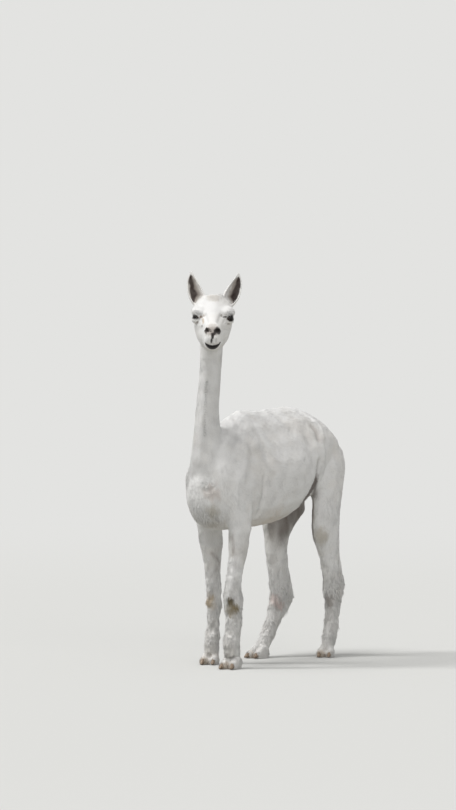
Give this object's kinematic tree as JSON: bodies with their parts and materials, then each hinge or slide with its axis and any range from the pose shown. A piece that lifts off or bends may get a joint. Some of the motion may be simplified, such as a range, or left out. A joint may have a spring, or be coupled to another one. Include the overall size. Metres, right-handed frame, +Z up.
{
  "type": "alpaca",
  "caption": "Freshly shorn white alpaca standing still with its neck upright and its head turned to its left.",
  "frame": {"origin": "on the ground, under the middle of the whole animal's bounding box", "axes": "+Z up, chest towards -Y, the animal's left side towards +X"},
  "size_m": [0.2929, 0.993, 1.346],
  "materials": {
    "fleece": "short shorn white wool, matte and velvety",
    "long_fleece": "longer unshorn white wool on the legs and tail, matte",
    "eye": "wet, almost black",
    "nail": "dark horn, slightly worn"
  },
  "bodies": {
    "root": {"neck": "fleece", "trunk": "fleece", "head": "fleece", "lower_jaw": "fleece", "tail": "long_fleece", "left_ear": "fleece", "left_eye": "eye", "right_ear": "fleece", "right_eye": "eye", "left_fore_leg": "long_fleece", "left_fore_foot": "long_fleece", "left_fore_outer_nail": "nail", "left_fore_inner_nail": "nail", "right_fore_leg": "long_fleece", "right_fore_foot": "long_fleece", "right_fore_outer_nail": "nail", "right_fore_inner_nail": "nail", "left_hind_leg": "long_fleece", "left_hind_foot": "long_fleece", "left_hind_outer_nail": "nail", "left_hind_inner_nail": "nail", "right_hind_leg": "long_fleece", "right_hind_foot": "long_fleece", "right_hind_outer_nail": "nail", "right_hind_inner_nail": "nail"}
  },
  "joints": []
}
